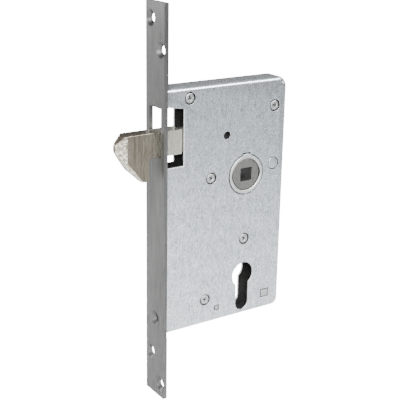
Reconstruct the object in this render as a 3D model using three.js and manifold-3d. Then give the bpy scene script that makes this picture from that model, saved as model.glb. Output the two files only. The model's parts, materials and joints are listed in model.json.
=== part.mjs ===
// Mortise hook lock for a sliding gate or door.
//
// Millimetres. X = 0 is the front face of the forend and +X goes into the door.
// Y = 0 is the middle of the lock. Z = 0 is the axis of the follower and +Z is up.
// Every touching pair of pieces keeps GAP between its surfaces.

import * as THREE from 'three';
import { mergeVertices } from 'three/addons/utils/BufferGeometryUtils.js';
import Module from 'manifold-3d';

const wasm = await Module();
wasm.setup();

// ---------------------------------------------------------------- driving dimensions

const GAP = 0.3;
const REACH = 40;
const FINE = 64;
const ROUND = 40;
const PLAIN = 20;

const FOREND = {
  width: 22, thick: 3, top: 115.8, bottom: -147.1, seatDepth: 0.3,
  slotHalf: 6.9, slotTop: 51.5, slotBottom: 20.2,
};
const FIXING = {
  headR: 5.1, throughR: 2.6,
  places: [[5.5, 105.4], [-6.3, 87.4], [0, -91.4], [5.5, -117.9], [-6.3, -137.6]],
};
const CASE = {
  front: 3, rear: 98.3, top: 63.4, bottom: -101.8, half: 7, sheet: 1.5, bend: 3.2,
  topCorner: 7.5, bottomCorner: 5, relief: 4, reliefY: -3.8,
};
const WINDOW = { rear: 17.5, bottom: 12.6, topFront: 52.6, topRear: 49.7 };
const INNER = CASE.half - CASE.sheet - GAP;

const FOLLOWER = { x: 66.2, z: 0, hubR: 10.5, squareHalf: 4.5 };
const BUSH = { outerR: 13.65, flangeR: 16, flange: 1.2, proud: 0.5, keyHalf: 2.9, keyRise: 0.9 };
const CYLINDER = { x: 66.2, z: -72, circleR: 8.8, slotHalf: 5.6, slotEnd: -98.5 };

const PIVOT = { x: 88.5, z: 4.7, r: 4.1, eyeR: 6.4 };
const POST = { r: 4, boreR: 2.3, boreDepth: 7.5, rivetR: 2.5, holeR: 4 };
const SCREW = { headR: 3.5, headDepth: 1.4, shankR: 1.9, shankEnd: 0.5, recess: 1.1 };
const POST_PLACES = [[21.3, 56], [88.1, 44.5], [38.3, 1.3], [66.2, -45.6], [35.1, -83.8]];

const HEAD = { half: 5.2, landHalf: 1.2, armBottom: 20.6, armTop: 36.6, rear: 16.8 };
const NOSE_BACK = -7;
const NOSE = {
  land: [[-22.4, 36.6], [-29.1, 31.2], [-29.2, 27], [-26, 21.5], [-21.4, 14.6], [-10.9, 5], [NOSE_BACK, 4.2]],
  side: [[-22, 36.6], [-22.2, 32], [-22.3, 25.5], [-22.4, 19.7], [-18.6, 15], [-11.3, 6.1], [NOSE_BACK, 5.4]],
};
const LAP = { rear: 35, step: 0.5 };
const ARM = { half: 2.5, lobeZ: 7.9, springX: 56, springZ: 30, reachR: 13.6 };
const HOOK_RIVET = { r: 1.6, places: [[23.5, 28], [30.5, 28]] };
const STOP_PIN = { x: 28.1, z: 17.2, r: 2.5 };

const FINGER = { tipR: 2, rootHalf: 3.2 };
const FINGERS = { push: [-15, 5.5], spring: [12.4, -2.6], deadlock: [0, -15.2] };

const HOOK_SPRING = { x: 56, low: 30.4, high: 57.5, coilR: 3.1, wireR: 0.5, turns: 8 };
const RETURN_SPRING = { x: 77.8, low: -28, high: -5.2, coilR: 2.9, wireR: 0.6, turns: 7 };

const SLIDER = {
  half: 2.5, front: 27, rear: 77.1, top: -36.5, bottom: -54, railZ: -45.6, travel: 7.5,
  noseFront: 43.2, noseRear: 50.3, noseTop: -12, notchFront: 58.7, notchRear: 70.2, toothEnd: -60.5,
};
const GUIDE_PIN = { x: 39.2, r: 2.4 };

// ---------------------------------------------------------------- finishes

const FINISH = {
  forend: { color: 0x9b9a97, roughness: 0.42, metalness: 0.9 },
  zinc: { color: 0xb9bec2, roughness: 0.5, metalness: 0.75 },
  nickel: { color: 0xa39c8d, roughness: 0.38, metalness: 0.9 },
  hub: { color: 0x96938c, roughness: 0.45, metalness: 0.85 },
  bush: { color: 0xd2d4d3, roughness: 0.4, metalness: 0.7 },
  screw: { color: 0xc0c2c2, roughness: 0.35, metalness: 0.85 },
  steel: { color: 0x8b8e90, roughness: 0.5, metalness: 0.85 },
  spring: { color: 0x6f7275, roughness: 0.4, metalness: 0.9 },
};

// ---------------------------------------------------------------- solids

/** A closed geometry as a solid that can be joined and cut. */
function solidOf(geometry) {
  const bare = geometry.clone();
  bare.deleteAttribute('normal');
  bare.deleteAttribute('uv');
  const merged = mergeVertices(bare, 1e-4);
  const corners = merged.index.array;
  const kept = [];
  for (let i = 0; i < corners.length; i += 3) {
    const [a, b, c] = [corners[i], corners[i + 1], corners[i + 2]];
    if (a !== b && b !== c && c !== a) {
      kept.push(a, b, c);
    }
  }
  return new wasm.Manifold(new wasm.Mesh({
    numProp: 3,
    vertProperties: new Float32Array(merged.attributes.position.array),
    triVerts: new Uint32Array(kept),
  }));
}

/** The surface of a solid as a geometry. */
function geometryOf(solid) {
  const mesh = solid.getMesh();
  const geometry = new THREE.BufferGeometry();
  geometry.setAttribute('position', new THREE.BufferAttribute(mesh.vertProperties, 3));
  geometry.setIndex(new THREE.BufferAttribute(mesh.triVerts, 1));
  geometry.computeVertexNormals();
  return geometry;
}

/** A block between two corners. */
function block(x0, x1, y0, y1, z0, z1) {
  const box = new THREE.BoxGeometry(x1 - x0, y1 - y0, z1 - z0);
  return solidOf(box.translate((x0 + x1) / 2, (y0 + y1) / 2, (z0 + z1) / 2));
}

/** A round bar along Y. */
function barY(x, z, radius, y0, y1, segments = ROUND) {
  const bar = new THREE.CylinderGeometry(radius, radius, y1 - y0, segments);
  return solidOf(bar.translate(x, (y0 + y1) / 2, z));
}

/** A round bar along Z. */
function barZ(x, y, radius, z0, z1, segments = PLAIN) {
  const bar = new THREE.CylinderGeometry(radius, radius, z1 - z0, segments);
  return solidOf(bar.rotateX(Math.PI / 2).translate(x, y, (z0 + z1) / 2));
}

/** A closed outline drawn in X and Z. */
function outline(points) {
  return new THREE.Shape(points.map(([x, z]) => new THREE.Vector2(x, z)));
}

/** A plate whose outline is drawn in X and Z, between two values of Y. */
function plate(shape, y0, y1, curveSegments = 6) {
  const flat = new THREE.ExtrudeGeometry(shape, { depth: y1 - y0, bevelEnabled: false, curveSegments });
  return solidOf(flat.rotateX(Math.PI / 2).translate(0, y1, 0));
}

/** All the given solids as one. */
function joined(solids) {
  return solids.reduce((whole, next) => whole.add(next));
}

/** The solid with each tool cut out of it. */
function cutBy(solid, tools) {
  return tools.reduce((rest, tool) => rest.subtract(tool), solid);
}

// ---------------------------------------------------------------- shared openings

/** The lock case's outline, drawn in by inset, from the given front edge. */
function caseOutline(inset, front) {
  const rear = CASE.rear - inset;
  const top = CASE.top - inset;
  const bottom = CASE.bottom + inset;
  const upper = CASE.topCorner - inset / 2;
  const lower = CASE.bottomCorner - inset / 2;
  const shape = new THREE.Shape();
  shape.moveTo(front, bottom);
  shape.lineTo(rear - lower, bottom);
  shape.absarc(rear - lower, bottom + lower, lower, -Math.PI / 2, 0, false);
  shape.lineTo(rear, top - upper);
  shape.absarc(rear - upper, top - upper, upper, 0, Math.PI / 2, false);
  shape.lineTo(front, top);
  shape.closePath();
  return shape;
}

/** The window beside the hook, cut from the front edge of a side plate. */
function windowTool() {
  const shape = outline([
    [0, WINDOW.bottom],
    [WINDOW.rear, WINDOW.bottom],
    [WINDOW.rear, WINDOW.topRear],
    [0, WINDOW.topFront],
  ]);
  return plate(shape, -REACH, REACH);
}

/** The profile-cylinder hole: a circle with a narrower round-ended slot below. */
function cylinderTool() {
  const { x, z, circleR, slotHalf, slotEnd } = CYLINDER;
  const slotFloor = slotEnd + slotHalf;
  return joined([
    barY(x, z, circleR, -REACH, REACH, FINE),
    block(x - slotHalf, x + slotHalf, -REACH, REACH, slotFloor, z),
    barY(x, slotFloor, slotHalf, -REACH, REACH, ROUND),
  ]);
}

/** A follower bush's keyed outline as a bar, grown by the given amount. */
function keyedBar(grow, y0, y1) {
  const keyTop = BUSH.outerR + BUSH.keyRise + grow;
  const half = BUSH.keyHalf + grow;
  return barY(FOLLOWER.x, FOLLOWER.z, BUSH.outerR + grow, y0, y1, FINE)
    .add(block(FOLLOWER.x - half, FOLLOWER.x + half, y0, y1, FOLLOWER.z, FOLLOWER.z + keyTop));
}

const REAR_TENON = { x: 85.3, z: -90, halfX: 3.1, halfZ: 2.8 };
const GUIDE_TENON = { x: 44.7, z: -91.8, halfX: 1.6, halfZ: 1.6 };
const SMALL_HOLE = { x: 50, z: 28.7, r: 2.6 };

/** A square tenon bar through the whole lock, grown by the given amount. */
function tenonBar(tenon, grow, y0, y1) {
  const { x, z, halfX, halfZ } = tenon;
  return block(x - halfX - grow, x + halfX + grow, y0, y1, z - halfZ - grow, z + halfZ + grow);
}

/** The cuts that both side plates have. */
function plateCuts() {
  return [
    windowTool(),
    cylinderTool(),
    keyedBar(GAP, -REACH, REACH),
    tenonBar(REAR_TENON, GAP, -REACH, REACH),
    tenonBar(GUIDE_TENON, GAP, -REACH, REACH),
    barY(SMALL_HOLE.x, SMALL_HOLE.z, SMALL_HOLE.r, -REACH, REACH, PLAIN),
    barY(PIVOT.x, PIVOT.z, PIVOT.r + GAP, -REACH, REACH, ROUND),
  ];
}

// ---------------------------------------------------------------- forend and case

/** The face plate: countersunk holes, hook slot and the seat for the case's edge. */
function forend() {
  const half = FOREND.width / 2;
  const countersunk = new THREE.LatheGeometry([
    new THREE.Vector2(0, -1),
    new THREE.Vector2(FIXING.headR + 1, -1),
    new THREE.Vector2(FIXING.headR, 0),
    new THREE.Vector2(FIXING.throughR, FIXING.headR - FIXING.throughR),
    new THREE.Vector2(FIXING.throughR, FOREND.thick + 1),
    new THREE.Vector2(0, FOREND.thick + 1),
  ], ROUND);
  countersunk.rotateZ(-Math.PI / 2);
  const holes = FIXING.places.map(([y, z]) => solidOf(countersunk.clone().translate(0, y, z)));
  const seatFloor = FOREND.thick - FOREND.seatDepth;
  const seat = block(seatFloor, FOREND.thick + 1, -half - 1, half + 1, CASE.bottom - GAP, CASE.top + GAP);
  const slot = block(-1, FOREND.thick + 1, -FOREND.slotHalf, FOREND.slotHalf, FOREND.slotBottom, FOREND.slotTop);
  const body = block(0, FOREND.thick, -half, half, FOREND.bottom, FOREND.top);
  return cutBy(body, [...holes, seat, slot]);
}

/** The solid inside the folded cover's skin: inset 0 is its outside, the sheet's thickness its inside. */
function foldedSolid(inset, front, depth) {
  const bend = CASE.bend - inset;
  const folded = new THREE.ExtrudeGeometry(caseOutline(inset, front), {
    depth, curveSegments: 8, bevelEnabled: true, bevelSegments: 5,
    bevelSize: bend, bevelThickness: bend, bevelOffset: -bend,
  });
  return solidOf(folded.rotateX(Math.PI / 2).translate(0, depth + bend - CASE.half + inset, 0));
}

/** The near side plate with its top, rear and bottom flanges folded from one sheet. */
function caseCover() {
  const inside = foldedSolid(CASE.sheet, -2 * REACH, 2 * REACH);
  const keep = block(CASE.front, CASE.rear + 1, -CASE.half, INNER, CASE.bottom - 1, CASE.top + 1);
  const reliefX = CASE.rear - CASE.relief;
  const topRelief = block(reliefX, CASE.rear + 1, CASE.reliefY, REACH, CASE.top - CASE.relief, CASE.top + 1);
  const lowRelief = block(
    reliefX, CASE.rear + 1, CASE.reliefY, REACH, CASE.bottom - 1, CASE.bottom + CASE.relief);
  const screwHoles = POST_PLACES.map(([x, z]) => barY(x, z, POST.holeR, -REACH, 0));
  return cutBy(
    foldedSolid(0, -REACH, REACH).intersect(keep),
    [inside, topRelief, lowRelief, ...plateCuts(), ...screwHoles]);
}

const BRACKET_TOP = { z0: 54.4, z1: 60.4, legEnd: 15.2, rivets: [[10.5, 57.3]] };
const BRACKET_LOW = { z0: -97.5, z1: -86.3, legEnd: 28.6, rivets: [[12, -91.8], [23, -91.8]] };
const BRACKET = { thick: 1.8, rivetR: 1.6 };
const SHELF = { half: 4.2, thick: 2.2, pegR: 1.5, pegLength: 4, tenonHalf: 1.9 };
const HOOK_SHELF_Z = 58.2;
const RETURN_SHELF_Z = -30.5;

/** Where the small round rivets and pins come out through the far plate. */
function farRivets() {
  return [
    ...POST_PLACES.map(([x, z]) => [x, z, POST.rivetR]),
    ...[...BRACKET_TOP.rivets, ...BRACKET_LOW.rivets].map(([x, z]) => [x, z, BRACKET.rivetR]),
    [STOP_PIN.x, STOP_PIN.z, POST.rivetR],
    [GUIDE_PIN.x, SLIDER.railZ, POST.rivetR],
  ];
}

/** The flat far side plate. */
function basePlate() {
  const rivetHoles = farRivets().map(([x, z, r]) => barY(x, z, r + GAP, 0, REACH, PLAIN));
  const shelfHoles = [[HOOK_SPRING.x, HOOK_SHELF_Z], [RETURN_SPRING.x, RETURN_SHELF_Z]].map(([x, z]) => {
    const half = SHELF.tenonHalf + GAP;
    return block(x - half, x + half, 0, REACH, z - GAP, z + SHELF.thick + GAP);
  });
  const sheet = plate(caseOutline(0, CASE.front), INNER + GAP, CASE.half);
  return cutBy(sheet, [...plateCuts(), ...rivetHoles, ...shelfHoles]);
}

/** An angle bracket behind the forend with its leg on the far plate. */
function bracket({ z0, z1, legEnd, rivets }) {
  const front = FOREND.thick + GAP;
  const foot = block(front, front + BRACKET.thick, -INNER + 1, INNER, z0, z1);
  const leg = block(front, legEnd, INNER - BRACKET.thick, INNER, z0, z1);
  const [, screwZ] = FIXING.places[2];
  const screwWay = new THREE.CylinderGeometry(FIXING.throughR + GAP, FIXING.throughR + GAP, REACH, ROUND);
  screwWay.rotateZ(Math.PI / 2).translate(0, 0, screwZ);
  const rivetHoles = rivets.map(([x, z]) => barY(x, z, BRACKET.rivetR + GAP, 0, REACH, PLAIN));
  return cutBy(foot.add(leg), [solidOf(screwWay), ...rivetHoles]);
}

/** A bracket rivet about its own axis, head inside the case. */
function bracketRivet() {
  const headY = INNER - BRACKET.thick - GAP;
  return barY(0, 0, BRACKET.rivetR, headY, CASE.half, PLAIN)
    .add(barY(0, 0, BRACKET.rivetR + 1, headY - 1, headY, PLAIN));
}

/** A threaded post about its own axis, riveted into the far plate. */
function post() {
  return barY(0, 0, POST.r, -INNER, INNER)
    .add(barY(0, 0, POST.rivetR, 0, CASE.half))
    .subtract(barY(0, 0, POST.boreR, -REACH, -INNER + POST.boreDepth, PLAIN));
}

/** A countersunk cross-recess screw about its own axis. */
function coverScrew() {
  const face = -CASE.half;
  const shaft = new THREE.LatheGeometry([
    new THREE.Vector2(0, face),
    new THREE.Vector2(SCREW.headR - 0.5, face),
    new THREE.Vector2(SCREW.headR, face + 0.3),
    new THREE.Vector2(SCREW.headR, face + SCREW.headDepth),
    new THREE.Vector2(SCREW.shankR, face + SCREW.headDepth),
    new THREE.Vector2(SCREW.shankR, SCREW.shankEnd),
    new THREE.Vector2(0, SCREW.shankEnd),
  ], ROUND);
  const arm = 1.9;
  const slot = 0.5;
  const depth = face + SCREW.recess;
  return cutBy(solidOf(shaft), [
    block(-arm, arm, face - 1, depth, -slot, slot),
    block(-slot, slot, face - 1, depth, -arm, arm),
  ]);
}

/** The plain pin that the hook swings on, flush with both plates. */
function pivotPin() {
  return barY(PIVOT.x, PIVOT.z, PIVOT.r, -CASE.half, CASE.half);
}

/** A distance ring on the pivot pin, from y0 to y1. */
function pivotRing(y0, y1) {
  return barY(PIVOT.x, PIVOT.z, PIVOT.eyeR, y0, y1)
    .subtract(barY(PIVOT.x, PIVOT.z, PIVOT.r + GAP, -REACH, REACH));
}

/** The block between the plates at the lower rear, with a square tenon through each. */
function rearSpacer() {
  return tenonBar(REAR_TENON, 0, -CASE.half, CASE.half).add(tenonBar(REAR_TENON, 1.6, -INNER, INNER));
}

/** The upright plate that the cylinder's fixing screw passes through. */
function screwGuide() {
  const { x } = GUIDE_TENON;
  const [, screwZ] = FIXING.places[2];
  const way = new THREE.CylinderGeometry(FIXING.throughR + GAP, FIXING.throughR + GAP, REACH, ROUND);
  way.rotateZ(Math.PI / 2).translate(x, 0, screwZ);
  return tenonBar(GUIDE_TENON, 0, -CASE.half, CASE.half)
    .add(block(x - 1.6, x + 1.6, -INNER, INNER, CASE.bottom + 3, CASE.bottom + 16))
    .subtract(solidOf(way));
}

/** A plain pin standing on the far plate, about its own axis. */
function standingPin(radius) {
  return barY(0, 0, radius, -INNER + 1, INNER).add(barY(0, 0, POST.rivetR, 0, CASE.half, PLAIN));
}

/** A small shelf on the far plate whose peg holds the end of a spring. */
function springShelf(x, z, pegUp) {
  const shelf = block(x - SHELF.half, x + SHELF.half, -SHELF.half, INNER, z, z + SHELF.thick);
  const tenon = block(x - SHELF.tenonHalf, x + SHELF.tenonHalf, 0, CASE.half, z, z + SHELF.thick);
  const peg = pegUp
    ? barZ(x, 0, SHELF.pegR, z, z + SHELF.thick + SHELF.pegLength)
    : barZ(x, 0, SHELF.pegR, z - SHELF.pegLength, z + 1);
  return joined([shelf, tenon, peg]);
}

/** A coil spring standing along Z. */
function coilSpring({ x, low, high, coilR, wireR, turns }) {
  const run = new THREE.Curve();
  run.getPoint = (t, target = new THREE.Vector3()) => {
    const angle = 2 * Math.PI * turns * t;
    const z = low + wireR + (high - low - 2 * wireR) * t;
    return target.set(x + coilR * Math.cos(angle), coilR * Math.sin(angle), z);
  };
  const section = new THREE.Shape().absarc(0, 0, wireR, 0, 2 * Math.PI, false);
  return new THREE.ExtrudeGeometry(section, {
    steps: turns * 12, extrudePath: run, bevelEnabled: false, curveSegments: 3,
  });
}

// ---------------------------------------------------------------- hook

/** The holes for the two rivets of the hook's lap joint. */
function rivetHoles() {
  return HOOK_RIVET.places.map(([x, z]) => barY(x, z, HOOK_RIVET.r + GAP, -ARM.half - 1, ARM.half + 1, PLAIN));
}

/** The hook's head: the middle of its nose stands further out than its two side faces. */
function hookHead() {
  const rear = [[NOSE_BACK, HEAD.armBottom], [HEAD.rear, HEAD.armBottom], [HEAD.rear, HEAD.armTop]];
  const [middle, side] = [NOSE.land, NOSE.side].map((front) => (
    [...front, ...rear].map(([x, z]) => new THREE.Vector2(x, z))));
  const rings = [
    [side, -HEAD.half], [middle, -HEAD.landHalf], [middle, HEAD.landHalf], [side, HEAD.half],
  ];
  const corners = side.length;
  const positions = rings.flatMap(([ring, y]) => ring.flatMap((point) => [point.x, y, point.y]));
  const index = [];
  for (let ring = 0; ring + 1 < rings.length; ring += 1) {
    for (let i = 0; i < corners; i += 1) {
      const next = (i + 1) % corners;
      const [a, b] = [ring * corners + i, ring * corners + next];
      const [c, d] = [a + corners, b + corners];
      index.push(a, d, b, a, c, d);
    }
  }
  const last = (rings.length - 1) * corners;
  for (const [a, b, c] of THREE.ShapeUtils.triangulateShape(side, [])) {
    index.push(a, b, c, last + a, last + c, last + b);
  }
  const geometry = new THREE.BufferGeometry();
  geometry.setAttribute('position', new THREE.Float32BufferAttribute(positions, 3));
  geometry.setIndex(index);
  const tongue = block(
    HEAD.rear - 1, LAP.rear, -ARM.half, -GAP / 2, HEAD.armBottom + LAP.step, HEAD.armTop - LAP.step);
  return cutBy(solidOf(geometry).add(tongue), rivetHoles());
}

/** The flat arm from the head's tongue, over the follower, to the eye on the pivot pin. */
function hookArm() {
  const shape = new THREE.Shape();
  const front = HEAD.rear + GAP;
  shape.moveTo(front, HEAD.armBottom + LAP.step);
  shape.lineTo(39.2, HEAD.armBottom + LAP.step);
  shape.lineTo(43.2, 13);
  shape.lineTo(45.7, ARM.lobeZ);
  shape.lineTo(53.6, ARM.lobeZ);
  shape.absarc(FOLLOWER.x, FOLLOWER.z, ARM.reachR, Math.PI * 0.79, Math.PI * 0.16, true);
  shape.lineTo(PIVOT.x - PIVOT.eyeR * 0.9, PIVOT.z - PIVOT.eyeR * 0.45);
  shape.absarc(PIVOT.x, PIVOT.z, PIVOT.eyeR, -Math.PI * 0.85, Math.PI * 0.35, false);
  shape.lineTo(ARM.springX + 7.5, ARM.springZ);
  shape.lineTo(ARM.springX - 8, ARM.springZ);
  shape.lineTo(ARM.springX - 12, HEAD.armTop - LAP.step);
  shape.lineTo(front, HEAD.armTop - LAP.step);
  shape.closePath();
  return cutBy(plate(shape, -ARM.half, ARM.half, 12), [
    barY(PIVOT.x, PIVOT.z, PIVOT.r + GAP, -REACH, REACH),
    block(0, LAP.rear + GAP, -REACH, GAP / 2, HEAD.armBottom, HEAD.armTop),
    ...rivetHoles(),
  ]);
}

// ---------------------------------------------------------------- follower

/** A round-ended finger from the follower's axis to a tip. */
function finger([dx, dz]) {
  const length = Math.hypot(dx, dz);
  const side = new THREE.Vector2(-dz, dx).divideScalar(length).multiplyScalar(FINGER.rootHalf);
  const tip = new THREE.Vector2(-dz, dx).divideScalar(length).multiplyScalar(FINGER.tipR);
  const { x, z } = FOLLOWER;
  const blade = outline([
    [x - side.x, z - side.y],
    [x + side.x, z + side.y],
    [x + dx + tip.x, z + dz + tip.y],
    [x + dx - tip.x, z + dz - tip.y],
  ].reverse());
  return plate(blade, -ARM.half, ARM.half)
    .add(barY(x + dx, z + dz, FINGER.tipR, -ARM.half, ARM.half, PLAIN));
}

/** The follower: hub through both bushes, three fingers and the square spindle hole. */
function follower() {
  const { x, z, hubR, squareHalf } = FOLLOWER;
  const solid = joined([
    barY(x, z, hubR, -CASE.half, CASE.half, FINE),
    ...Object.values(FINGERS).map(finger),
  ]);
  return solid.subtract(block(x - squareHalf, x + squareHalf, -REACH, REACH, z - squareHalf, z + squareHalf));
}

/** A keyed bush in a side plate with its flange inside; side is -1 near, 1 far. */
function followerBush(side) {
  const faceY = side * (CASE.half + BUSH.proud);
  const shoulderY = side * (CASE.half - CASE.sheet - GAP);
  const innerY = side * (CASE.half - CASE.sheet - GAP - BUSH.flange);
  const sleeve = keyedBar(0, Math.min(faceY, innerY), Math.max(faceY, innerY));
  const flange = barY(
    FOLLOWER.x, FOLLOWER.z, BUSH.flangeR, Math.min(shoulderY, innerY), Math.max(shoulderY, innerY), FINE);
  return sleeve.add(flange).subtract(barY(FOLLOWER.x, FOLLOWER.z, FOLLOWER.hubR + GAP, -REACH, REACH, FINE));
}

// ---------------------------------------------------------------- deadlock slider

/** A round-ended slot along X, from x0 to x1 between its end centres. */
function railSlot(x0, x1, radius) {
  const z = SLIDER.railZ;
  return joined([
    barY(x0, z, radius, -REACH, REACH),
    barY(x1, z, radius, -REACH, REACH),
    block(x0, x1, -REACH, REACH, z - radius, z + radius),
  ]);
}

/** The slider that the cylinder's cam drives, with its nose below the follower. */
function lockSlider() {
  const s = SLIDER;
  const shape = outline([
    [s.front, s.bottom], [s.notchFront - 5, s.bottom], [s.notchFront - 4, s.toothEnd],
    [s.notchFront, s.toothEnd], [s.notchFront, s.bottom + 2], [s.notchRear, s.bottom + 2],
    [s.notchRear, s.toothEnd], [s.notchRear + 4, s.toothEnd], [s.rear, s.bottom],
    [s.rear, s.top], [s.noseRear, s.top], [s.noseRear, s.noseTop], [s.noseFront + 2, s.noseTop],
    [s.noseFront, s.noseTop - 3], [s.noseFront - 3, s.top], [s.front, s.top],
  ]);
  const [postX] = POST_PLACES[3];
  return cutBy(plate(shape, -s.half, s.half), [
    railSlot(postX - s.travel, postX, POST.r + GAP),
    railSlot(GUIDE_PIN.x - s.travel, GUIDE_PIN.x, GUIDE_PIN.r + GAP),
  ]);
}

/** The leaf under the lower spring shelf that bears on the slider's upper edge. */
function detentSpring() {
  const high = RETURN_SHELF_Z - GAP;
  const thick = 0.7;
  const nose = SLIDER.top + GAP;
  const shape = outline([
    [82.2, high - thick], [70.2, high - thick], [63.2, nose], [60.7, nose + 2.4], [60.7, nose + 3.4],
    [63.6, nose + 1], [70.6, high], [82.2, high],
  ]);
  return plate(shape, -2.2, 2.2);
}

// ---------------------------------------------------------------- scene graph

/** Adds one named piece to a group. */
function addPiece(group, name, shape, finish, [x, z] = [0, 0]) {
  const geometry = shape.isBufferGeometry ? shape : geometryOf(shape);
  const mesh = new THREE.Mesh(geometry, new THREE.MeshStandardMaterial(finish));
  mesh.name = name;
  mesh.position.set(x, 0, z);
  group.add(mesh);
}

/** Adds a numbered row of like pieces to a group. */
function addRow(group, name, shape, finish, places) {
  places.forEach((place, i) => addPiece(group, `${name}_${i + 1}`, shape, finish, place));
}

/** The forend, both side plates and everything fixed between them. */
function caseGroup() {
  const group = new THREE.Group();
  addPiece(group, 'forend', forend(), FINISH.forend);
  addPiece(group, 'case_cover', caseCover(), FINISH.zinc);
  addPiece(group, 'base_plate', basePlate(), FINISH.zinc);
  addPiece(group, 'forend_bracket_top', bracket(BRACKET_TOP), FINISH.steel);
  addPiece(group, 'forend_bracket_bottom', bracket(BRACKET_LOW), FINISH.steel);
  addRow(group, 'bracket_rivet', bracketRivet(), FINISH.screw, [...BRACKET_TOP.rivets, ...BRACKET_LOW.rivets]);
  addRow(group, 'post', post(), FINISH.steel, POST_PLACES);
  addRow(group, 'cover_screw', coverScrew(), FINISH.screw, POST_PLACES);
  addPiece(group, 'pivot_pin', pivotPin(), FINISH.screw);
  addPiece(group, 'pivot_ring_near', pivotRing(-INNER, -ARM.half - GAP), FINISH.steel);
  addPiece(group, 'pivot_ring_far', pivotRing(ARM.half + GAP, INNER), FINISH.steel);
  addPiece(group, 'rear_spacer', rearSpacer(), FINISH.screw);
  addPiece(group, 'screw_guide', screwGuide(), FINISH.screw);
  addPiece(group, 'hook_stop_pin', standingPin(STOP_PIN.r), FINISH.steel, [STOP_PIN.x, STOP_PIN.z]);
  addPiece(group, 'slider_guide_pin', standingPin(GUIDE_PIN.r), FINISH.steel, [GUIDE_PIN.x, SLIDER.railZ]);
  addPiece(group, 'hook_spring_shelf', springShelf(HOOK_SPRING.x, HOOK_SHELF_Z, false), FINISH.steel);
  addPiece(group, 'return_spring_shelf', springShelf(RETURN_SPRING.x, RETURN_SHELF_Z, true), FINISH.steel);
  addPiece(group, 'hook_spring', coilSpring(HOOK_SPRING), FINISH.spring);
  addPiece(group, 'return_spring', coilSpring(RETURN_SPRING), FINISH.spring);
  addPiece(group, 'detent_spring', detentSpring(), FINISH.spring);
  addPiece(group, 'follower_bush_near', followerBush(-1), FINISH.bush);
  addPiece(group, 'follower_bush_far', followerBush(1), FINISH.bush);
  return group;
}

/** The swinging hook: head, arm and the two rivets that join them. */
function hookGroup() {
  const group = new THREE.Group();
  addPiece(group, 'hook_head', hookHead(), FINISH.nickel);
  addPiece(group, 'hook_arm', hookArm(), FINISH.steel);
  addRow(group, 'hook_rivet', barY(0, 0, HOOK_RIVET.r, -ARM.half, ARM.half, PLAIN), FINISH.screw,
    HOOK_RIVET.places);
  return group;
}

const lock = new THREE.Group();
lock.name = 'mortise_hook_lock';
lock.add(caseGroup());
lock.add(hookGroup());
addPiece(lock, 'follower', follower(), FINISH.hub);
addPiece(lock, 'lock_slider', lockSlider(), FINISH.steel);

export default lock;
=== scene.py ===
"""Fine surfaces, metal finishes, studio and camera for a mortise hook lock.

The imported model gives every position: the fine pieces stand where the frame's nodes stand.
Lengths inside the part classes are millimetres in the lock's own frame, where X = 0 is the
forend's front face, Y = 0 the middle of the case and Z = 0 the follower's axis.
"""

import json
import logging
import math
from dataclasses import dataclass, field
from enum import Enum

import bmesh
import bpy
import numpy as np
from mathutils import Matrix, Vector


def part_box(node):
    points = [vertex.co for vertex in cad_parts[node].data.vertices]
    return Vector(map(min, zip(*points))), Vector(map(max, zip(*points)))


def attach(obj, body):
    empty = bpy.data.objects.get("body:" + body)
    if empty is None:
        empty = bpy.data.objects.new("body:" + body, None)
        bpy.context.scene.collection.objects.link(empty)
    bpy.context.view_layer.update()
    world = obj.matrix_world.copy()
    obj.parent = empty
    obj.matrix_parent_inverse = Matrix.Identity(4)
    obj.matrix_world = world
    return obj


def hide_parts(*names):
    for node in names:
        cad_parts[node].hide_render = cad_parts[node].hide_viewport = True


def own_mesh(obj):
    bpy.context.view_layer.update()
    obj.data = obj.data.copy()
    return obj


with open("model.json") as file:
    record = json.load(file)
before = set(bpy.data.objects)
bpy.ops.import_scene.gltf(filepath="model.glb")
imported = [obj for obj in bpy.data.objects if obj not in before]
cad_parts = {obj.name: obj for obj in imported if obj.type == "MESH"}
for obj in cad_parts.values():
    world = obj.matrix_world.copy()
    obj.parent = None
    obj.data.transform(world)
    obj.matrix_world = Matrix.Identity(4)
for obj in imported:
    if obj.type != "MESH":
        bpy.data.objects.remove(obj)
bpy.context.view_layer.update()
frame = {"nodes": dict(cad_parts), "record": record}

BODIES = frame["record"]["behaviour"]["bodies"]
BODY_OF = {node: body for body, nodes in BODIES.items() for node in nodes}
MM = 0.001
TAU = 2.0 * math.pi
LOG = logging.getLogger("lock")

# Parts of a noise's range that a finish uses, and the share of light left in a worn streak.
SPECK_RANGE = (0.62, 0.72)
GRAIN_RANGE = (0.3, 0.7)
WORN_SHADE = 0.88
# Height of a finish's fine relief, in metres.
RELIEF = 0.0002
# Distances in metres under which points are one and a face has no area, and the angle under
# which neighbouring faces are in one plane.
ONE_POINT = 2e-7
NO_AREA = 1e-8
ONE_PLANE = math.radians(0.4)

Point = tuple[float, float, float]
Colour = tuple[float, float, float]
Corners = tuple[tuple[float, float], ...]


# ---------------------------------------------------------------- finishes


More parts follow.
